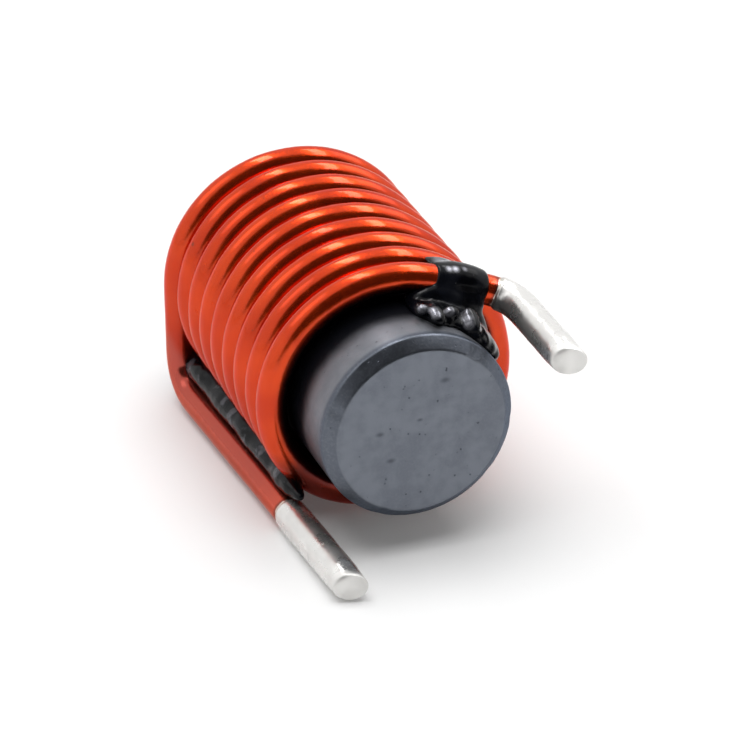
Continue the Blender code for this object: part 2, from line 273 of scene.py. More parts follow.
@dataclass(frozen=True)
class EnamelFinish(Finish):
    """Clear orange-red enamel over drawn copper."""

    name: str = "orange_enamel"
    slot: Slot = Slot.ENAMEL
    thin: Colour = (0.68, 0.056, 0.006)
    thick: Colour = (0.56, 0.036, 0.004)
    burnt: Colour = (0.24, 0.040, 0.022)
    scuffed: Colour = (0.85, 0.55, 0.42)
    # Painted shade for the gap over the rod, the lowest rear turns and the front turn's underside, and a
    # painted pale reflection on the leads
    painted_shade: Colour = (0.006, 0.005, 0.006)
    lead_sheen: Colour = (0.40, 0.14, 0.12)
    low_shade: Colour = (0.36, 0.022, 0.008)
    underside_shade: Colour = (0.060, 0.003, 0.003)
    bare: Colour = (0.62, 0.55, 0.50)
    edge_tint: tuple = (1.0, 0.42, 0.28, 1.0)
    metal: float = 0.88
    roughness: float = 0.24
    coat: float = 0.36
    coat_roughness: float = 0.07
    coat_ior: float = 1.5
    scorched: Span = (6.3, 6.1)
    stripped: Span = (6.08, 6.04)
    coil_axis: tuple = (0.10, 0.0, 0.05)
    # Where the painted shade and the painted reflection on the leads fall, and how strong they are
    inner_side: Span = (4.95, 4.52)
    underside_reach: Span = (5.66, 5.54)
    lead_side: Span = (5.75, 6.2)
    shade_depth: Span = (7.5, 5.5)
    low_shade_height: Span = (1.5, -3.0)
    low_shade_depth: Span = (2.6, 7.0)
    underside_height: Span = (-1.9, -3.1)
    underside_depth: Span = (4.3, 3.4)
    low_shade_share: float = 0.70
    underside_share: float = 0.92
    lead_sheen_share: float = 0.34
    pale_marks: tuple = (Mark(-5.30, 8.86, 0.95, 0.16), Mark(-2.23, 10.0, 5.0, 0.12))
    dark_marks: tuple = (Mark(-4.76, 13.73, 2.57, 0.14),)

    def sockets(self, board: NodeBoard) -> dict:
        """The enamel's relief and gloss.

        Args:
            board: The material's node tree.

        Returns:
            Values for the shader's sockets.
        """
        # Lines that the drawing die leaves along the wire
        across = board.vector("SCALE", {0: board.stored("section", "Vector"), "Scale": 7.0})
        slow = board.times(board.stored("along", "Fac"), 0.22)
        drawn = board.vector("ADD", {0: across, 1: board.out("ShaderNodeCombineXYZ", {2: slow})})
        lines = board.noise(1.0, 3.0, drawn)
        skin = board.noise(2.6)
        return {
            "Base Color": self.colour(board, lines),
            "Metallic": self.metal,
            "Roughness": board.plus(board.swing(skin, 0.07), self.roughness),
            "Normal": board.bump(skin, 0.020, 0.35, board.bump(lines, 0.012, 0.55)),
            "Specular Tint": self.edge_tint,
            "Coat Weight": self.coat,
            "Coat Roughness": self.coat_roughness,
            "Coat IOR": self.coat_ior,
            "Coat Normal": board.bump(skin, 0.018, 0.35),
        }

    def colour(self, board: NodeBoard, lines: Socket) -> Socket:
        """Pooled enamel with blemishes and scorched stripped ends, with painted shade in the gap over the
        rod, low on the rear turns and under the front turn, and a painted pale reflection on the leads.

        Args:
            board: The material's node tree.
            lines: The pattern of the drawn lines.

        Returns:
            The colour.
        """
        reach = board.from_axis(board.vector("SUBTRACT", {0: board.place, 1: self.coil_axis}))
        reach = board.plus(reach, board.swing(board.noise(1.6), 0.08))
        _, depth, height = board.axes(board.place)
        # Painted shade: black on the inner side of the front turns, over the rod
        inner = board.times(board.ease(reach, *self.inner_side), board.ease(depth, *self.shade_depth))
        # Painted shade: deeper red towards the bottom of the rear turns
        deep = board.times(board.ease(height, *self.low_shade_height), board.ease(depth, *self.low_shade_depth))
        # Painted shade: near black on the lower front of the front turn
        underside_mask = board.times(board.ease(height, *self.underside_height), board.ease(depth, *self.underside_depth))
        underside_mask = board.times(underside_mask, board.ease(reach, *self.underside_reach), self.underside_share)
        ragged = board.plus(board.stored("from_end", "Fac"), board.swing(board.noise(2.2), 0.10))
        return board.coats(
            self.thin,
            (board.ease(board.noise(0.42, 3.0), 0.35, 0.68), self.thick),
            (board.spread(board.ease(lines, 0.30, 0.72), 0.0, 0.30), self.thick),
            (board.times(board.specks(1.1, 0.05, 0.03), 0.7), self.burnt),
            *[(board.spot(mark, 0.8), self.scuffed) for mark in self.pale_marks],
            *[(board.spot(mark, 0.8), self.burnt) for mark in self.dark_marks],
            (inner, self.painted_shade),
            (board.times(deep, self.low_shade_share), self.low_shade),
            (underside_mask, self.underside_shade),
            # Painted reflection: a pale pinkish tint over the leads
            (board.times(board.ease(reach, *self.lead_side), self.lead_sheen_share), self.lead_sheen),
            (board.ease(ragged, *self.scorched), self.burnt),
            (board.ease(ragged, *self.stripped), self.bare),
        )


@dataclass(frozen=True)
class TinFinish(Finish):
    """Dipped tin, set in soft ripples, with a little oxide and flux."""

    name: str = "dipped_tin"
    slot: Slot = Slot.TIN
    bright: Colour = (0.80, 0.79, 0.77)
    dull: Colour = (0.71, 0.70, 0.68)
    flux: Colour = (0.30, 0.24, 0.16)
    metal: float = 0.90
    rim: Span = (5.75, 6.15)
    rim_share: float = 0.45
    pit_share: float = 0.3
    rough: tuple = (0.22, 0.36)
    cut_end: Span = (0.45, 0.05)
    cut_rough: float = 0.28

    def sockets(self, board: NodeBoard) -> dict:
        """Rippled tin, stained with flux at its rim and in its pits.

        Args:
            board: The material's node tree.

        Returns:
            Values for the shader's sockets.
        """
        along = board.stored("along", "Fac")
        waves = board.noise(1.3)
        fine = board.noise(7.0, 4.0)
        cloud = board.noise(0.8, 3.0)
        pits = board.specks(0.9, 0.07, 0.03)
        stain_and_shade = board.ease(board.plus(along, board.swing(waves, 0.25)), *self.rim)
        colour = board.coats(self.bright, (board.ease(cloud, 0.40, 0.72), self.dull),
                             (board.times(stain_and_shade, self.rim_share), self.flux),
                             (board.times(pits, self.pit_share), self.flux))
        rough = board.plus(board.spread(board.ease(cloud, 0.35, 0.75), *self.rough), board.swing(fine, 0.04))
        normal = board.bump(fine, 0.006, 0.30, board.bump(waves, 0.06, 0.40))
        return {
            "Base Color": colour,
            "Metallic": self.metal,
            "Roughness": board.plus(rough, board.times(board.ease(along, *self.cut_end), self.cut_rough)),
            "Normal": board.bump(board.opposite(pits), 0.02, 0.4, normal),
        }


@dataclass(frozen=True)
class FerriteFinish(Finish):
    """Sintered ferrite: dark pressed ends, a paler ground side, pores and marks, with black painted shade
    where the rod runs under the turns and low on its side.
    """

    name: str = "ground_ferrite"
    slot: Slot = Slot.FERRITE
    face: Colour = (0.172, 0.187, 0.216)
    face_dark: Colour = (0.142, 0.155, 0.182)
    edge: Colour = (0.112, 0.123, 0.147)
    side: Colour = (0.210, 0.214, 0.234)
    side_dark: Colour = (0.175, 0.181, 0.200)
    pore: Colour = (0.045, 0.050, 0.062)
    # Black painted shade, where the rod runs in under the turns and low on its side
    painted_shade: Colour = (0.006, 0.006, 0.009)
    edge_tint: tuple = (0.55, 0.60, 0.68, 1.0)
    metal: float = 0.94
    side_metal_drop: float = 0.42
    roughness: float = 0.36
    face_edge: Span = (3.51, 3.58)
    middle_y: float = 9.0
    side_edge: Span = (8.38, 8.12)
    # Where the painted shade falls along the rod and low on its side
    shade_front: Span = (1.40, 2.42)
    shade_tilt: float = 0.10
    shade_rear: Span = (13.6, 14.6)
    low_side_shade: Span = (1.0, -1.4)
    low_side_share: float = 0.80
    mark_share: float = 0.6
    mark_squeeze: tuple = (0.75, 1.0, 1.3)
    mark_core: float = 0.05
    marks: tuple = (
        Mark(0.97, 0.0, 2.09, 0.24), Mark(-1.74, 0.0, 0.18, 0.20), Mark(-1.28, 0.0, -1.08, 0.22),
        Mark(-0.07, 0.0, 0.52, 0.14),
    )

    def sockets(self, board: NodeBoard) -> dict:
        """A tone for the ends, the chamfers and the side, with pores, marks and a black painted shade.

        Args:
            board: The material's node tree.

        Returns:
            Values for the shader's sockets.
        """
        across, depth, height = board.axes(board.place)
        grain = board.noise(9.0, 4.0)
        mottle = board.noise(2.1, 4.0)
        patches = board.plus(board.times(board.noise(0.55, 4.0), 0.7), board.times(mottle, 0.3))
        patches = board.ease(patches, 0.38, 0.62)
        pores = board.times(board.specks(3.2, 0.16, 0.08), board.ease(mottle, 0.48, 0.60))
        from_middle = board.calc("ABSOLUTE", board.calc("SUBTRACT", depth, self.middle_y))
        on_side = board.ease(from_middle, *self.side_edge)
        off_face = board.ease(board.from_axis(board.place), *self.face_edge)

        # Painted shade: black where the rod runs in under the turns, and darker low on the ground side
        ragged = board.plus(depth, board.swing(board.noise(0.9), 0.20))
        stain_and_shade = board.ease(board.plus(ragged, board.times(across, self.shade_tilt)), *self.shade_front)
        stain_and_shade = board.times(stain_and_shade, board.opposite(board.ease(depth, *self.shade_rear)))
        low = board.times(board.ease(height, *self.low_side_shade), on_side, self.low_side_share)
        colour = board.coats(
            self.face,
            (patches, self.face_dark),
            (board.times(off_face, board.opposite(on_side)), self.edge),
            (on_side, board.coats(self.side, (patches, self.side_dark))),
            (board.spread(board.ease(grain, 0.42, 0.72), 0.0, 0.40), self.face),
            (board.times(pores, self.mark_share), self.pore),
            *[(board.times(self.blot(board, mark), self.mark_share), self.pore) for mark in self.marks],
            (board.calc("MAXIMUM", stain_and_shade, low), self.painted_shade),
        )
        return {
            "Base Color": colour,
            "Metallic": board.calc("SUBTRACT", self.metal, board.times(on_side, self.side_metal_drop)),
            "Roughness": board.plus(board.swing(mottle, 0.08), self.roughness),
            "Normal": board.bump(board.opposite(pores), 0.03, 0.6, board.bump(grain, 0.012, 0.5)),
            "Specular Tint": self.edge_tint,
        }

    def blot(self, board: NodeBoard, mark: Mark) -> Socket:
        """A mark on the face, wider than it is high, with hardly any core.

        Args:
            board: The material's node tree.
            mark: The mark.

        Returns:
            Its strength.
        """
        flat = board.vector("SUBTRACT", {0: board.place, 1: mark.centre})
        flat = board.vector("MULTIPLY", {0: flat, 1: self.mark_squeeze})
        away = board.vector("DISTANCE", {0: flat, 1: (0.0, 0.0, 0.0)}, "Value")
        return board.ease(away, mark.size, mark.size * self.mark_core)


@dataclass(frozen=True)
class GlueFinish(Finish):
    """Black epoxy, run and set glossy, with painted highlight spots and painted sheen patches that are set by
    place.
    """

    name: str = "black_epoxy"
    slot: Slot = Slot.GLUE
    deep: Colour = (0.0015, 0.0017, 0.0028)
    dusty: Colour = (0.006, 0.007, 0.011)
    speck: Colour = (0.20, 0.20, 0.21)
    # A painted sheen: lighter and metallic where highlights fall
    painted_sheen: Colour = (0.25, 0.25, 0.28)
    specular: float = 0.16
    rough: tuple = (0.13, 0.28)
    sheen_rough: float = 0.10
    # The side strip's painted sheen patches, and the painted highlight spots on the front glue
    strip_across: Span = (-3.0, -3.5)
    strip_depth: Span = (3.6, 5.2)
    strip_sheen_share: float = 0.34
    glint_spread: float = 1.3
    painted_glints: tuple = (
        Mark(0.66, 1.80, 4.44, 0.24), Mark(0.98, 1.40, 4.46, 0.22), Mark(1.04, 1.18, 4.40, 0.22),
        Mark(1.76, 1.60, 4.18, 0.22), Mark(2.58, 1.85, 3.78, 0.22), Mark(2.52, 1.55, 3.72, 0.24),
        Mark(2.46, 1.25, 3.64, 0.22), Mark(2.45, 3.25, 5.20, 0.19), Mark(2.72, 3.28, 5.09, 0.19),
        Mark(3.08, 3.35, 4.90, 0.15), Mark(2.35, 4.05, 5.20, 0.34), Mark(2.75, 4.25, 5.05, 0.30),
    )

    def sockets(self, board: NodeBoard) -> dict:
        """Near black with a dusty tone and specks, painted highlight spots on the front glue and painted
        sheen patches on the side glue.

        Args:
            board: The material's node tree.

        Returns:
            Values for the shader's sockets.
        """
        cloud = board.noise(0.9, 3.0)
        fine = board.swing(board.noise(12.0), 0.03)
        rough = board.plus(board.spread(board.ease(cloud, 0.38, 0.75), *self.rough), fine)
        # Painted highlights: the highlight spots and the side strip's patches turn lighter and metallic
        glass = 0.0
        for mark in self.painted_glints:
            glass = board.calc("MAXIMUM", glass, board.spot(mark, 0.9, self.glint_spread))
        across, depth, _ = board.axes(board.place)
        on_strip = board.times(board.ease(across, *self.strip_across), board.ease(depth, *self.strip_depth))
        patches = board.times(board.ease(board.noise(1.5), 0.56, 0.70), on_strip, self.strip_sheen_share)
        glass = board.calc("MAXIMUM", glass, patches)
        speck = board.times(board.specks(2.6, 0.055, 0.03), 0.5)
        return {
            "Base Color": board.coats(self.deep, (board.ease(cloud, 0.42, 0.72), self.dusty),
                                      (speck, self.speck), (glass, self.painted_sheen)),
            "Metallic": glass,
            "Roughness": board.plus(rough, board.times(glass, self.sheen_rough)),
            "Normal": board.bump(board.noise(1.8, 1.0), 0.02, 0.4),
            "Specular IOR Level": self.specular,
        }


@dataclass(frozen=True)
class Station:
    """A point of a path and how wide the wire is there, as a share of its full radius."""

    point: Vector
    width: float


def smooth_step(share: float) -> float:
    """Eases 0 to 1 with no corner at either end."""
    share = min(max(share, 0.0), 1.0)
    return share * share * (3.0 - 2.0 * share)


def shares(count: int) -> list[float]:
    """Even steps from 0 to 1."""
    return [index / (count - 1) for index in range(count)]


def between(low: float, high: float, share: float) -> float:
    """The value a share of the way from low to high."""
    return low + (high - low) * share


def walk(points: list[Vector]) -> list[float]:
    """The length walked to each point of a path."""
    steps = [(there - here).length for here, there in zip(points, points[1:])]
    return [0.0, *accumulate(steps)]


def resampled(points: list[Vector], spacing: float) -> list[Vector]:
    """Puts points at even steps along a path, with both ends where they were.

    Args:
        points: The path.
        spacing: The step, which is rounded so that it divides the length.

    Returns:
        The new path.
    """
    walked = walk(points)
    marks = np.linspace(0.0, walked[-1], max(round(walked[-1] / spacing), 1) + 1)
    columns = [np.interp(marks, walked, [point[axis] for point in points]) for axis in range(3)]
    return [Vector(values) for values in zip(*columns)]


def relaxed(points: list[Vector], passes: int) -> list[Vector]:
    """Softens the corners of a path; its ends stay.

    Args:
        points: The path.
        passes: How often each point is averaged with its neighbours.

    Returns:
        The softer path.
    """
    for _ in range(passes):
        middle = [(a + b * 2 + c) / 4 for a, b, c in zip(points, points[1:], points[2:])]
        points = [points[0], *middle, points[-1]]
    return points


@dataclass(frozen=True)
class WireRoute:
    """The centre line of the wire: its long lead, its turns and its short lead."""

    wire_radius: float = 0.625
    enamel: float = 0.03
    tin: float = 0.065
    pitch: float = 1.41
    turn_gap: float = 0.16
    coil_radius: float = 4.85
    setback: float = 3.73
    offset_x: float = 0.10
    offset_z: float = 0.05
    front_slack: float = 0.12
    front_turns: float = 1.15
    rear_slack: float = 0.10
    rear_turns: float = 0.35
    start_turn: float = -8.25
    exit_clock: float = 20.0
    lead_gap_rear: float = 0.80
    lead_gap_front: float = 0.43
    rear_bend: float = 1.35
    short_run: float = 3.6
    front_bend: float = 1.2
    pin_tip_y: float = -2.4
    stripped: float = 6.1
    spacing: float = 0.2
    turn_steps: int = 120
    bend_steps: int = 24
    softening: int = 8

    @property
    def outer_radius(self) -> float:
        """Radius over the turns."""
        return self.coil_radius + self.wire_radius

    @property
    def lead_z(self) -> float:
        """Height of the long lead, whose tin lies on the same floor as the slack front turn."""
        return self.offset_z - self.outer_radius - self.front_slack + self.wire_radius + self.tin

    @property
    def rear_y(self) -> float:
        """Where the rearmost turn's centre line starts."""
        return self.setback - self.pitch * self.start_turn

    def on_clock(self, radius: float, clock: float, y: float) -> Vector:
        """A point at a clock angle round the coil's axis, in degrees from the top towards +X."""
        angle = math.radians(clock)
        return Vector((self.offset_x + radius * math.sin(angle), y, self.offset_z + radius * math.cos(angle)))

    def coil_point(self, turn: float) -> Vector:
        """The wire's centre in the coil.

        Args:
            turn: The turn, counted from the top of the front one.

        Returns:
            The point.
        """
        front = min(max((turn + self.front_turns) / self.front_turns, 0.0), 1.0)
        radius = self.coil_radius + self.front_slack * math.sin(math.pi * front) ** 2
        radius += self.rear_slack * smooth_step((self.start_turn + self.rear_turns - turn) / self.rear_turns)
        return self.on_clock(radius, 360.0 * turn, self.setback - self.pitch * turn)

    def lead_gap(self, y: float) -> float:
        """The gap between the long lead and the turns."""
        share = (y - self.setback) / (self.rear_y - self.setback)
        return between(self.lead_gap_front, self.lead_gap_rear, share)

    def long_lead(self, y: float) -> Vector:
        """The centre of the long lead.

        Args:
            y: The distance along the rod.

        Returns:
            The point.
        """
        reach = self.outer_radius + self.lead_gap(y) + self.wire_radius
        across = math.sqrt(reach * reach - (self.offset_z - self.lead_z) ** 2)
        return Vector((self.offset_x - across, y, self.lead_z))

    @property
    def exit_way(self) -> Vector:
        """The way the wire leaves the front turn."""
        angle = math.radians(self.exit_clock)
        return Vector((math.cos(angle), 0.0, -math.sin(angle)))

    @property
    def exit_point(self) -> Vector:
        """Where the wire leaves the front turn."""
        return self.coil_point(self.exit_clock / 360.0)

    def rounded(self, before: Vector, corner: Vector, after: Vector, radius: float) -> list[Vector]:
        """The arc that rounds a corner.

        Args:
            before: The neighbour that the arc comes from.
            corner: The sharp corner.
            after: The neighbour that the arc goes to.
            radius: The arc's radius.

        Returns:
            Points of the arc.
        """
        inward = (before - corner).normalized()
        outward = (after - corner).normalized()
        half = inward.angle(outward) / 2
        setback = radius / math.tan(half)
        centre = corner + (inward + outward).normalized() * (radius / math.sin(half))
        first = (corner + inward * setback - centre).normalized()
        last = (corner + outward * setback - centre).normalized()
        steps = self.bend_steps
        return [centre + first.slerp(last, step / steps) * radius for step in range(steps + 1)]

    def points(self) -> list[Vector]:
        """The whole centre line, from the long lead's tip to the short lead's.

        Returns:
            Its points, evenly spaced.
        """
        tip = self.long_lead(self.pin_tip_y)
        corner = self.long_lead(self.rear_y + self.turn_gap)
        start = self.coil_point(self.start_turn)
        path = [tip, *self.rounded(tip, corner, start, self.rear_bend)]
        turns = self.exit_clock / 360.0 - self.start_turn
        steps = round(turns * self.turn_steps)
        path += [self.coil_point(self.start_turn + turns / steps * step) for step in range(steps + 1)]
        corner = self.exit_point + self.exit_way * self.short_run
        tip = Vector((corner.x, self.pin_tip_y, corner.z))
        path += [*self.rounded(self.exit_point, corner, tip, self.front_bend), tip]
        return relaxed(resampled(path, self.spacing), self.softening)


def placed(name: str, data: bpy.types.ID) -> Object:
    """Puts a mesh, a lamp or a camera into the scene.

    Args:
        name: The object's name.
        data: What it shows.

    Returns:
        The object, at the origin.
    """
    obj = bpy.data.objects.new(name, data)
    bpy.context.scene.collection.objects.link(obj)
    return obj


def facing(place: Vector, right: Vector, up: Vector, back: Vector) -> Matrix:
    """Where a lamp or a camera stands and how it is turned, from a place in millimetres."""
    return Matrix.Translation(place * MM) @ Matrix((right, up, back)).transposed().to_4x4()


def baked(holder: Object, name: str) -> Mesh:
    """Takes the plain mesh that an object's modifiers make, and removes the object.

    Args:
        holder: The object.
        name: The mesh's name.

    Returns:
        The mesh.
    """
    mesh = bpy.data.meshes.new_from_object(holder.evaluated_get(bpy.context.evaluated_depsgraph_get()))
    mesh.name = name
    holder.modifiers.clear()
    bpy.data.objects.remove(holder, do_unlink=True)
    return mesh


def face_outward(mesh: Mesh, sharp: float) -> None:
    """Turns the faces of a closed mesh outward and shades it smooth.

    Args:
        mesh: The mesh.
        sharp: The angle, in degrees, from which an edge stays sharp.
    """
    work = bmesh.new()
    work.from_mesh(mesh)
    bmesh.ops.recalc_face_normals(work, faces=work.faces)
    work.to_mesh(mesh)
    work.free()
    mesh.shade_smooth()
    mesh.set_sharp_from_angle(angle=math.radians(sharp))


def dress(piece: Object, finish: Finish, node: str) -> None:
    """Rides a finished piece on the part and hides the solid that it stands for.

    Args:
        piece: The piece.
        finish: Its finish; not used.
        node: The solid's node.
    """
    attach(piece, "root")
    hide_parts(node)
    LOG.info("%s: %d triangles", piece.name, sum(len(face.vertices) - 2 for face in piece.data.polygons))


@dataclass(frozen=True)
class WireSweep:
    """A Geometry Nodes tree that sweeps a round, slightly uneven section along a line of points."""

    radius: float
    sides: int
    ripple: float
    ripple_scale: float
    seed: float

    def tree(self, kinds: dict[str, str]) -> bpy.types.NodeTree:
        """Builds the node tree.

        Args:
            kinds: The kind of each input by its name.

        Returns:
            The tree.
        """
        tree = bpy.data.node_groups.new("wire_sweep", "GeometryNodeTree")
        for name, kind in kinds.items():
            tree.interface.new_socket(name, in_out="INPUT", socket_type="NodeSocket" + kind)
        tree.interface.new_socket("Geometry", in_out="OUTPUT", socket_type="NodeSocketGeometry")
        board = NodeBoard(tree)
        given = board.add("NodeGroupInput").outputs
        place = board.vector("SCALE", {0: board.out("GeometryNodeInputPosition"), "Scale": 1.0 / MM})

        # The line carries its length, the section its own coordinates
        line = board.out("GeometryNodeMeshToCurve", {0: given["Geometry"]})
        along = board.times(board.add("GeometryNodeSplineParameter").outputs["Length"], 1.0 / MM)
        line = board.out("GeometryNodeStoreNamedAttribute",
                         {"Geometry": line, "Name": "along", "Value": along}, data_type="FLOAT")
        ring = board.out("GeometryNodeCurvePrimitiveCircle",
                         {"Resolution": given["Sides"], "Radius": given["Radius"]}, mode="RADIUS")
        ring = board.out("GeometryNodeStoreNamedAttribute",
                         {"Geometry": ring, "Name": "section", "Value": place}, data_type="FLOAT_VECTOR")
        width = board.out("GeometryNodeInputNamedAttribute", {"Name": "width"}, data_type="FLOAT")
        tube = board.out("GeometryNodeCurveToMesh", {"Curve": line, "Profile Curve": ring, "Scale": width,
                                                     "Fill Caps": True})

        # The drawn and bent wire is nowhere quite even
        uneven = board.out("ShaderNodeTexNoise", {"Vector": place, "W": given["Seed"], "Detail": 1.0,
                                                  "Scale": given["Ripple Scale"]}, noise_dimensions="4D")
        lift = board.times(board.calc("SUBTRACT", uneven, 0.5), given["Ripple"])
        shift = board.vector("SCALE", {0: board.out("GeometryNodeInputNormal"), "Scale": lift})
        tube = board.out("GeometryNodeSetPosition", {"Geometry": tube, "Offset": shift})
        tube = board.out("GeometryNodeSetShadeSmooth", {"Geometry": tube})
        tube = board.out("GeometryNodeSetMaterial", {"Geometry": tube, "Material": given["Finish"]})
        board.add("NodeGroupOutput", {"Geometry": tube})
        return tree

    def build(self, name: str, stations: list[Station], finish: Material) -> Object:
        """Sweeps the section along stations.

        Args:
            name: The piece's name.
            stations: The line's points with the share of the radius at each.
            finish: The material of the result.

        Returns:
            The new object, a plain mesh.
        """
        line = bpy.data.meshes.new(name + "_line")
        edges = [(i, i + 1) for i in range(len(stations) - 1)]
        line.from_pydata([station.point * MM for station in stations], edges, [])
        widths = line.attributes.new("width", "FLOAT", "POINT")
        widths.data.foreach_set("value", [station.width for station in stations])
        holder = placed(line.name, line)
        inputs = {
            "Geometry": ("Geometry", None),
            "Radius": ("Float", self.radius * MM),
            "Ripple": ("Float", self.ripple * MM),
            "Ripple Scale": ("Float", self.ripple_scale),
            "Seed": ("Float", self.seed),
            "Sides": ("Int", self.sides),
            "Finish": ("Material", finish),
        }
        modifier = holder.modifiers.new("Sweep", "NODES")
        modifier.node_group = self.tree({label: kind for label, (kind, _) in inputs.items()})
        for item in modifier.node_group.interface.items_tree:
            if item.in_out == "INPUT" and item.name != "Geometry":
                modifier[item.identifier] = inputs[item.name][1]
        return placed(name, baked(holder, name))


@dataclass
class Winding:
    """The enamelled wire: both leads and the turns, one sweep."""

    route: WireRoute
    finish: EnamelFinish = field(default_factory=EnamelFinish)
    sides: int = 28
    ripple: float = 0.035
    ripple_scale: float = 0.9
    seed: float = 3.0
    buried: float = 0.3
    step: float = 0.08
    sharp: float = 60.0

    def stations(self) -> Iterator[Station]:
        """Goes along the route from inside one pin to inside the other, with the enamel's steps."""
        points = self.route.points()
        walked = walk(points)
        bare = 1.0 - self.route.enamel / self.route.wire_radius
        for point, along in zip(points, walked):
            from_end = min(along, walked[-1] - along)
            if from_end >= self.buried:
                coated = smooth_step((from_end - self.route.stripped + self.step) / self.step)
                yield Station(point, between(bare, 1.0, coated))

    def build(self) -> None:
        """Makes the winding's mesh and dresses it."""
        stations = list(self.stations())
        sweep = WireSweep(self.route.wire_radius, self.sides, self.ripple, self.ripple_scale, self.seed)
        piece = sweep.build("enamelled_winding", stations, self.finish.build())
        self.mark_ends(piece.data, walk([station.point for station in stations])[-1])
        face_outward(piece.data, self.sharp)
        dress(piece, self.finish, "winding")

    def mark_ends(self, mesh: Mesh, length: float) -> None:
        """Stores how far each point lies from the nearer end of the wire.

        Args:
            mesh: The winding's mesh.
            length: The length of the sweep.
        """
        along = np.zeros(len(mesh.vertices))
        mesh.attributes["along"].data.foreach_get("value", along)
        from_end = np.minimum(along, length - along) + self.buried
        mesh.attributes.new("from_end", "FLOAT", "POINT").data.foreach_set("value", from_end)


@dataclass
class TinnedPin:
    """The tin on one stripped end: a coat with a rounded, slightly pinched tip and an uneven rim."""

    route: WireRoute
    end: LeadEnd
    finish: TinFinish = field(default_factory=TinFinish)
    sides: int = 36
    ripple: float = 0.05
    ripple_scale: float = 0.8
    spacing: float = 0.07
    rim: float = 0.30
    rim_sink: float = 0.04
    tip_round: float = 0.04
    tip_width: float = 0.92
    tip_face: float = 0.1
    tip_reach: float = 0.12
    tip_slant: float = 0.30
    pinch: float = 0.14
    pinch_length: float = 0.9
    sharp: float = 50.0

    def stations(self) -> Iterator[Station]:
        """Goes along the coat's stretch of the route, from its tip to just past the enamel's edge."""
        route = self.route
        points = route.points()
        if self.end is LeadEnd.SHORT:
            points.reverse()
        points = resampled(points, self.spacing)
        low = (route.wire_radius - self.rim_sink) / (route.wire_radius + route.tin)
        for point, walked in zip(points, walk(points)):
            if walked > route.stripped + self.rim / 3:
                break
            tip = math.sqrt(1.0 - (1.0 - min(walked / self.tip_round, 1.0)) ** 2)
            rim = smooth_step((walked - route.stripped + self.rim * 2 / 3) / self.rim)
            yield Station(point, between(self.tip_width, 1.0, tip) * (1.0 - rim) + low * rim)

    def build(self) -> None:
        """Makes the pin's mesh and dresses it."""
        radius = self.route.wire_radius + self.route.tin
        sweep = WireSweep(radius, self.sides, self.ripple, self.ripple_scale, self.end.seed)
        piece = sweep.build(f"tinned_{self.end.value}_pin", list(self.stations()), self.finish.build())
        self.pinch_tip(piece.data)
        face_outward(piece.data, self.sharp)
        dress(piece, self.finish, f"solder_{self.end.value}_pin")

    def pinch_tip(self, mesh: Mesh) -> None:
        """Slants and flattens the cut end, as the side cutter leaves it.

        Args:
            mesh: The pin's mesh.
        """
        tip_y = self.route.pin_tip_y * MM
        face = [vertex.co for vertex in mesh.vertices if vertex.co.y < tip_y + self.tip_face * MM]
        centre = sum(face, Vector()) / max(len(face), 1)
        for vertex in mesh.vertices:
            reach = (vertex.co.y - tip_y) / (self.pinch_length * MM)
            if reach < 1.0:
                near = smooth_step(1.0 - reach)
                vertex.co.y += near * (self.tip_slant * (centre.x - vertex.co.x) - self.tip_reach * MM)
                vertex.co.z = centre.z + (vertex.co.z - centre.z) * (1.0 - self.pinch * near)


@dataclass(frozen=True)
class EdgeChip:
    """A small chip out of the rod's front edge: its clock angle, width and depth."""

    clock: float
    width: float
    depth: float


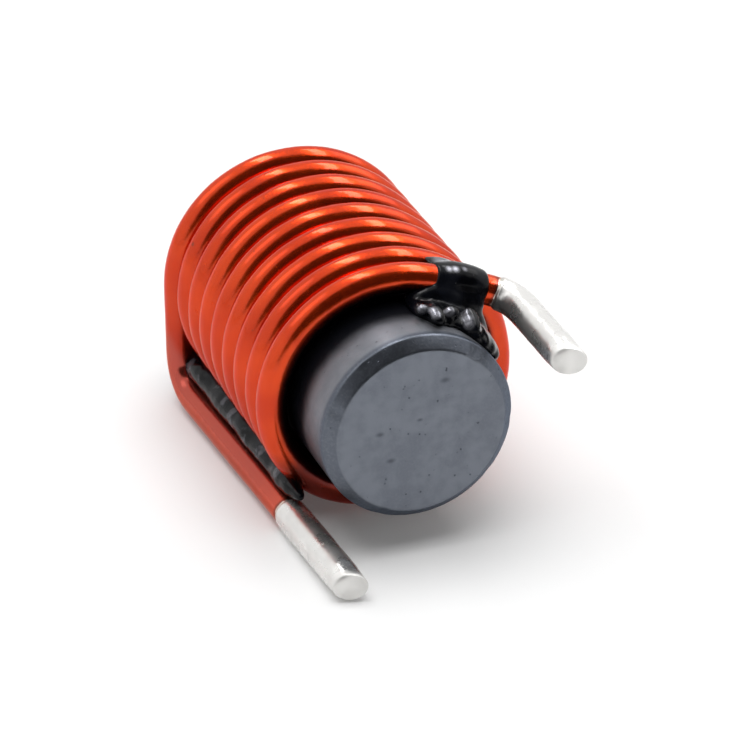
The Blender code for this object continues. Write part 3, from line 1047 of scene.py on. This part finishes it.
@dataclass
class FerriteCore:
    """The ferrite rod: a ground cylinder with a softened chamfer round each end."""

    finish: FerriteFinish = field(default_factory=FerriteFinish)
    radius: float = 4.0
    length: float = 18.0
    chamfer: float = 0.47
    soft: float = 0.08
    soft_steps: int = 5
    sides: int = 256
    sharp: float = 35.0
    face_rings: tuple = (0.8, 1.6, 2.4, 3.0)
    chips: tuple = (
        EdgeChip(38.0, 0.22, 0.09), EdgeChip(64.0, 0.16, 0.06), EdgeChip(96.0, 0.28, 0.07),
        EdgeChip(131.0, 0.20, 0.08), EdgeChip(205.0, 0.24, 0.06), EdgeChip(292.0, 0.18, 0.05),
        EdgeChip(325.0, 0.14, 0.06),
    )

    def profile(self) -> list[tuple[float, float]]:
        """Radius and distance along the rod, from the front face's middle to the rear one's.

        Returns:
            The pairs.
        """
        inner = Vector((self.radius - self.chamfer, 0.0))
        outer = Vector((self.radius, self.chamfer))
        slope = (outer - inner).normalized() * self.soft
        rings = [(radius, 0.0) for radius in self.face_rings]
        for start, corner, end in ((inner - Vector((self.soft, 0.0)), inner, inner + slope),
                                   (outer - slope, outer, outer + Vector((0.0, self.soft)))):
            for step in range(self.soft_steps + 1):
                t = step / self.soft_steps
                rings.append(tuple(start * (1 - t) ** 2 + corner * 2 * t * (1 - t) + end * t * t))
        return rings + [(radius, self.length - y) for radius, y in reversed(rings)]

    def build(self) -> None:
        """Turns the profile into the rod's mesh and dresses it."""
        work = bmesh.new()
        rings = []
        for radius, y in self.profile():
            angles = [2 * math.pi * index / self.sides for index in range(self.sides)]
            spots = [Vector((radius * math.sin(angle), y, radius * math.cos(angle))) for angle in angles]
            rings.append([work.verts.new(self.chipped(spot) * MM) for spot in spots])
        for ring, following in zip(rings, rings[1:]):
            for index in range(self.sides):
                after = (index + 1) % self.sides
                work.faces.new((ring[index], ring[after], following[after], following[index]))
        work.faces.new(rings[0])
        work.faces.new(rings[-1])
        mesh = bpy.data.meshes.new("ferrite_rod")
        work.to_mesh(mesh)
        work.free()
        mesh.materials.append(self.finish.build())
        face_outward(mesh, self.sharp)
        dress(placed(mesh.name, mesh), self.finish, "ferrite_core")

    def chipped(self, spot: Vector) -> Vector:
        """Pushes a point of the edge in where a chip is.

        Args:
            spot: The point.

        Returns:
            Where it goes.
        """
        moved = spot.copy()
        edge = Vector((self.radius - self.chamfer / 2, self.chamfer / 2))
        for chip in self.chips:
            angle = math.radians(chip.clock)
            across, up = math.sin(angle), math.cos(angle)
            middle = Vector((edge.x * across, edge.y, edge.x * up))
            away = (spot - middle).length / (chip.width + self.chamfer / 2)
            if away < 1.0:
                inward = Vector((-across, 1.0, -up)).normalized()
                moved += inward * chip.depth * smooth_step(1.0 - away)
        return moved


@dataclass(frozen=True)
class Lump:
    """An ellipsoid of glue: its middle, its radii, its turn about the rod and its lean to the front."""

    centre: Vector
    radii: tuple
    turn: float
    lean: float = 0.0

    @property
    def matrix(self) -> Matrix:
        """What makes the lump from a ball of radius 1.

        Returns:
            The matrix, which also turns millimetres into metres.
        """
        spin = Matrix.Rotation(math.radians(self.turn), 4, "Y")
        spin = spin @ Matrix.Rotation(math.radians(self.lean), 4, "X")
        place = Matrix.Scale(MM, 4) @ Matrix.Translation(self.centre)
        return place @ spin @ Matrix.Diagonal((*self.radii, 1.0))


@dataclass
class GlueRun:
    """What both runs of glue share: lumps that flow together into one skin."""

    route: WireRoute
    finish: GlueFinish = field(default_factory=GlueFinish)
    lump_detail: int = 4
    voxel: float = 0.06
    softening: int = 26
    sharp: float = 180.0
    swell: float = 0.022
    coarse: float = 1.1
    fine: float = 2.9
    fine_share: float = 0.4
    fine_shift: tuple = (7.0, 3.0, 1.0)

    def lumps(self) -> Iterator[Lump]:
        """The lumps that the run is melted from."""
        raise NotImplementedError

    def melt(self, name: str, node: str) -> None:
        """Melts the lumps into one closed mesh and dresses it.

        Args:
            name: The piece's name.
            node: The solid that it stands for.
        """
        work = bmesh.new()
        for lump in self.lumps():
            bmesh.ops.create_icosphere(work, subdivisions=self.lump_detail, radius=1.0, matrix=lump.matrix)
        mesh = bpy.data.meshes.new(name + "_lumps")
        work.to_mesh(mesh)
        work.free()
        holder = placed(mesh.name, mesh)
        remesh = holder.modifiers.new("Melt", "REMESH")
        remesh.mode = "VOXEL"
        remesh.voxel_size = self.voxel * MM
        soften = holder.modifiers.new("Soften", "SMOOTH")
        soften.iterations = self.softening
        skin = baked(holder, name)
        self.ripple(skin)
        skin.materials.clear()
        skin.materials.append(self.finish.build())
        face_outward(skin, self.sharp)
        dress(placed(name, skin), self.finish, node)

    def ripple(self, mesh: Mesh) -> None:
        """Gives the skin the soft unevenness of glue that ran and set.

        Args:
            mesh: The skin.
        """
        normals = [vertex.normal.copy() for vertex in mesh.vertices]
        for vertex, normal in zip(mesh.vertices, normals):
            spot = vertex.co / MM
            fine = noise.noise(spot * self.fine + Vector(self.fine_shift))
            lift = noise.noise(spot * self.coarse) + self.fine_share * fine
            vertex.co += normal * lift * self.swell * MM


@dataclass(frozen=True)
class Run:
    """A finger of glue that ran forward along the rod: its clock angle, its end and its section."""

    clock: float
    end_y: float
    half_width: float
    height: float


@dataclass(frozen=True)
class Blister:
    """A flat blister of glue that leans forward: its clock angle, its y, its reach and its half sizes."""

    clock: float
    y: float
    reach: float
    half_width: float
    half_length: float


@dataclass
class FrontGlue(GlueRun):
    """Glue between the front turn, the rod and the short lead, drawn round that lead."""

    rod_radius: float = 4.0
    runs: tuple = (
        Run(11.0, 1.75, 0.40, 0.36), Run(17.0, 1.15, 0.50, 0.42), Run(23.0, 1.25, 0.50, 0.42),
        Run(29.0, 1.30, 0.50, 0.40), Run(35.0, 1.10, 0.50, 0.44), Run(41.0, 0.85, 0.50, 0.46),
        Run(47.0, 0.75, 0.50, 0.44), Run(53.0, 0.80, 0.50, 0.42), Run(59.0, 1.00, 0.50, 0.40),
        Run(64.0, 1.40, 0.40, 0.34),
    )
    run_overlap: float = 0.4
    blisters: tuple = (
        Blister(8.5, 1.80, 4.36, 0.30, 0.26), Blister(14.0, 1.32, 4.36, 0.34, 0.50),
        Blister(24.0, 1.66, 4.44, 0.34, 0.32), Blister(36.0, 1.60, 4.46, 0.34, 0.66),
    )
    blister_height: float = 0.19
    blister_turn: float = 7.0
    blister_lean: float = 25.0
    wall_count: int = 27
    wall_from: float = 12.0
    wall_to: float = 62.0
    wall_height: float = 0.90
    wall_ends: float = 0.25
    wall_skew: float = 0.7
    wall_width: float = 0.5
    wall_depth: float = 0.50
    wall_sink: float = 0.15
    fill_count: int = 6
    fill_start: float = 0.25
    fill_margin: float = 0.35
    coat_count: int = 28
    coat_length: float = 0.2
    coat_least: float = 0.02
    coat_thick: float = 0.17
    coat_rise: float = 0.06
    coat_from: float = 0.10
    coat_to: float = 2.27
    film_count: int = 8
    film_from: float = 21.0
    film_to: float = 36.0
    film_thick: float = 0.22
    film_sink: float = 0.08
    film_behind: float = 0.36
    film_half: tuple = (0.3, 0.42)

    def lumps(self) -> Iterator[Lump]:
        """The runs on the rod, the blisters and the wall behind them, then fill, coat and film."""
        route = self.route
        front = route.setback - route.wire_radius
        for run in self.runs:
            reach = (front + self.run_overlap - run.end_y) / 2
            middle = route.on_clock(self.rod_radius, run.clock, run.end_y + reach)
            yield Lump(middle, (run.half_width, reach, run.height), run.clock)
        for one in self.blisters:
            size = (one.half_width, one.half_length, self.blister_height)
            middle = route.on_clock(one.reach, one.clock, one.y)
            yield Lump(middle, size, self.blister_turn, self.blister_lean)
        for share in shares(self.wall_count):
            clock = between(self.wall_from, self.wall_to, share)
            bulge = math.sin(math.pi * share ** self.wall_skew)
            tall = self.wall_height * between(self.wall_ends, 1.0, bulge)
            middle = route.on_clock(self.rod_radius + tall / 2, clock, front)
            yield Lump(middle, (self.wall_width, self.wall_depth, tall / 2 + self.wall_sink), clock)
        yield from self.fill()
        yield from self.coat()
        yield from self.film()

    def fill(self) -> Iterator[Lump]:
        """The web between the short lead and the rod under it."""
        route = self.route
        for share in shares(self.fill_count):
            reach = self.fill_start + (self.coat_to - self.fill_margin) * share
            on_lead = route.exit_point + route.exit_way * reach
            axis = Vector((route.offset_x, on_lead.y, route.offset_z))
            on_rod = axis + (on_lead - axis).normalized() * self.rod_radius
            height = (on_lead - on_rod).length / 2 + route.wire_radius * 0.5
            middle = (on_lead + on_rod) / 2 - Vector((0.0, route.wire_radius * 0.3, 0.0))
            size = (route.wire_radius * 0.9, route.wire_radius * 1.3, height)
            yield Lump(middle, size, route.exit_clock)

    def coat(self) -> Iterator[Lump]:
        """The glue drawn round the short lead, thickest at its middle and above the wire."""
        route = self.route
        up = route.on_clock(1.0, route.exit_clock, 0.0) - route.on_clock(0.0, route.exit_clock, 0.0)
        for share in shares(self.coat_count):
            reach = between(self.coat_from, self.coat_to, share)
            swell = math.sin(math.pi * (0.08 + 0.80 * share)) ** 0.8
            thick = route.wire_radius + self.coat_least + self.coat_thick * swell
            middle = route.exit_point + route.exit_way * reach + up * (self.coat_rise * swell)
            yield Lump(middle, (self.coat_length, thick, thick), route.exit_clock)

    def film(self) -> Iterator[Lump]:
        """The thin glue that crept into the groove behind the front turn."""
        route = self.route
        y = route.setback + route.pitch * self.film_behind
        for share in shares(self.film_count):
            clock = between(self.film_from, self.film_to, share)
            swell = self.film_thick * math.sin(math.pi * (0.12 + 0.76 * share))
            middle = route.on_clock(route.outer_radius - self.film_sink, clock, y)
            yield Lump(middle, (*self.film_half, swell), clock)

    def build(self) -> None:
        """Makes the run's mesh and dresses it."""
        self.melt("front_glue", "glue_front")


@dataclass
class SideGlue(GlueRun):
    """The strip of glue between the long lead and the turns, wider and narrower as it goes."""

    half_width_rear: float = 0.52
    half_width_front: float = 0.22
    unevenness: float = 0.16
    rise: float = 5.5
    hug: float = 0.30
    rear_reach: float = 0.75
    front_reach: float = 0.10
    front_blob: float = 0.20
    least_taper: float = 0.55
    overlap: float = 2.5
    count: int = 30

    def lumps(self) -> Iterator[Lump]:
        """The strip's lumps, from its front to its rear."""
        route = self.route
        first = route.setback + self.front_reach
        spacing = (route.rear_y + self.rear_reach - first) / (self.count - 1)
        for index, share in enumerate(shares(self.count)):
            y = first + spacing * index
            gap = route.lead_gap(y)
            lead = route.long_lead(y)
            clock = math.degrees(math.atan2(lead.x - route.offset_x, lead.z - route.offset_z)) + self.rise
            width = self.half_width_rear * share + self.half_width_front * (1 - share)
            width *= 1.0 + self.unevenness * math.sin(0.85 * index) * math.sin(0.31 * index + 1.0)
            width += self.front_blob * (1.0 - smooth_step(share * 7.0))
            depth = (gap / 2 + route.wire_radius * 0.4) * (1.0 + 0.05 * math.sin(0.8 * index))
            taper = between(self.least_taper, 1.0, smooth_step(min(8.0 * (1.0 - share), 0.4 + 10.0 * share)))
            middle = route.on_clock(route.outer_radius + gap * self.hug, clock, y)
            yield Lump(middle, (width * taper, spacing * self.overlap, depth * taper), clock)

    def build(self) -> None:
        """Makes the strip's mesh and dresses it."""
        self.melt("side_glue", "glue_side")


@dataclass(frozen=True)
class Softbox:
    """A flat lamp: the way to it, its width, its depth along the rod and its radiance.

    A lamp with only_gloss shows in reflections alone, and one without in_gloss shows in none.
    """

    name: str
    toward: tuple
    width: float
    depth: float
    radiance: float
    only_gloss: bool = True
    in_gloss: bool = True
    distance: float = 350.0

    def build(self) -> None:
        """Hangs the lamp so that it faces the object, with its depth along the rod."""
        light = bpy.data.lights.new(self.name, "AREA")
        light.shape = "RECTANGLE"
        light.size = self.width * MM
        light.size_y = self.depth * MM
        light.energy = self.radiance * math.pi * light.size * light.size_y
        way = Vector(self.toward).normalized()
        lamp = placed(self.name, light)
        across = Vector((0.0, 1.0, 0.0)).cross(way).normalized()
        lamp.matrix_world = facing(way * self.distance, across, way.cross(across), way)
        lamp.visible_diffuse = not self.only_gloss
        lamp.visible_glossy = self.in_gloss


@dataclass
class Studio:
    """The pale floor, the pale surroundings, the lamps and the camera."""

    floor_z: float = -5.55
    floor_size: float = 6000.0
    floor_colour: Colour = (0.94, 0.94, 0.94)
    floor_lift: float = 0.07
    sensor_width: float = 36.0
    clip_start: float = 0.001
    focal_length: float = 204.27
    camera_place: tuple = (-53.2116, -134.0962, 81.2262)
    azimuth: float = -20.889
    elevation: float = 28.595
    surroundings: float = 0.86
    horizon_share: float = 0.55
    horizon: Span = (0.0, 0.5)
    dark_side: float = 0.03
    dark_middle: tuple = (0.0, -0.924, 0.382)
    dark_edge: Span = (0.45, 0.64)
    unlit_edge: Span = (0.30, 0.62)
    softboxes: tuple = (
        Softbox("overhead_left", (-0.04, 0.42, 0.90), 50.0, 270.0, 8.5),
        Softbox("overhead_right", (0.52, 0.18, 0.83), 56.0, 330.0, 7.0),
        Softbox("overhead_fill", (0.0, 0.0, 1.0), 360.0, 360.0, 2.45, only_gloss=False, in_gloss=False),
        Softbox("left_glow", (-0.65, 0.36, 0.67), 170.0, 170.0, 0.9),
        Softbox("right_glow", (0.76, 0.28, 0.60), 110.0, 200.0, 1.5),
    )

    def shows_backdrop(self, board: NodeBoard) -> Socket:
        """Tells rays from the camera, from gloss or through glass from those that carry light.

        Args:
            board: The node tree.

        Returns:
            1 for such a ray.
        """
        ray = board.add("ShaderNodeLightPath").outputs
        either = board.calc("MAXIMUM", ray["Is Camera Ray"], ray["Is Glossy Ray"])
        return board.calc("MAXIMUM", either, ray["Is Transmission Ray"])

    def build_floor(self) -> None:
        """Lays the floor, which shows white but keeps the object's shadow."""
        half = self.floor_size / 2 * MM
        mesh = bpy.data.meshes.new("studio_floor")
        corners = [(x * half, y * half, self.floor_z * MM) for x, y in ((-1, -1), (1, -1), (1, 1), (-1, 1))]
        mesh.from_pydata(corners, [], [(0, 1, 2, 3)])
        material = bpy.data.materials.new("pale_floor")
        material.use_nodes = True
        board = NodeBoard(material.node_tree)
        board.tree.nodes.clear()
        paper = board.out("ShaderNodeBsdfDiffuse", {"Color": (*self.floor_colour, 1.0)})
        lift = board.times(self.shows_backdrop(board), self.floor_lift)
        glow = board.out("ShaderNodeEmission", {"Color": WHITE, "Strength": lift})
        board.add("ShaderNodeOutputMaterial", {0: board.out("ShaderNodeAddShader", {0: paper, 1: glow})})
        mesh.materials.append(material)
        placed(mesh.name, mesh)

    def build_surroundings(self) -> None:
        """Lights the studio evenly, a little darker behind the camera, and shows it white."""
        world = bpy.data.worlds.new("studio")
        world.use_nodes = True
        bpy.context.scene.world = world
        board = NodeBoard(world.node_tree)
        board.tree.nodes.clear()
        way = board.add("ShaderNodeTexCoord").outputs["Generated"]
        ahead = board.vector("DOT_PRODUCT", {0: way, 1: self.dark_middle}, "Value")
        raised = board.spread(board.ease(board.axes(way)[2], *self.horizon), self.horizon_share, 1.0)
        unlit = board.ease(ahead, *self.unlit_edge)
        lit = board.times(board.spread(unlit, self.surroundings, self.dark_side), raised)
        mirrored = board.spread(board.ease(ahead, *self.dark_edge), 1.0, self.dark_side)
        seen = board.either(self.shows_backdrop(board), lit, mirrored)
        shown = board.either(board.add("ShaderNodeLightPath").outputs["Is Camera Ray"], seen, 1.0)
        back = board.out("ShaderNodeBackground", {"Color": WHITE, "Strength": shown})
        board.add("ShaderNodeOutputWorld", {0: back})

    def build_camera(self) -> None:
        """Sets up the camera at the photograph's angle."""
        data = bpy.data.cameras.new("studio_camera")
        data.sensor_width = self.sensor_width
        data.lens = self.focal_length
        data.clip_start = self.clip_start
        turn, rise = math.radians(self.azimuth), math.radians(self.elevation)
        back = Vector((math.sin(turn) * math.cos(rise), -math.cos(turn) * math.cos(rise), math.sin(rise)))
        right = (-back).cross(Vector((0.0, 0.0, 1.0))).normalized()
        camera = placed(data.name, data)
        camera.matrix_world = facing(Vector(self.camera_place), right, right.cross(-back), back)
        bpy.context.scene.camera = camera

    def build(self) -> None:
        """Sets up everything round the object."""
        self.build_floor()
        self.build_surroundings()
        for softbox in self.softboxes:
            softbox.build()
        self.build_camera()
        bpy.context.scene.view_settings.view_transform = "Standard"


def main() -> None:
    """Builds the pieces and the studio."""
    logging.basicConfig(level=logging.INFO, format="%(message)s")
    Studio().build()
    route = WireRoute()
    Winding(route).build()
    TinnedPin(route, LeadEnd.LONG).build()
    TinnedPin(route, LeadEnd.SHORT).build()
    FerriteCore().build()
    FrontGlue(route).build()
    SideGlue(route).build()


if __name__ == "__main__":
    main()
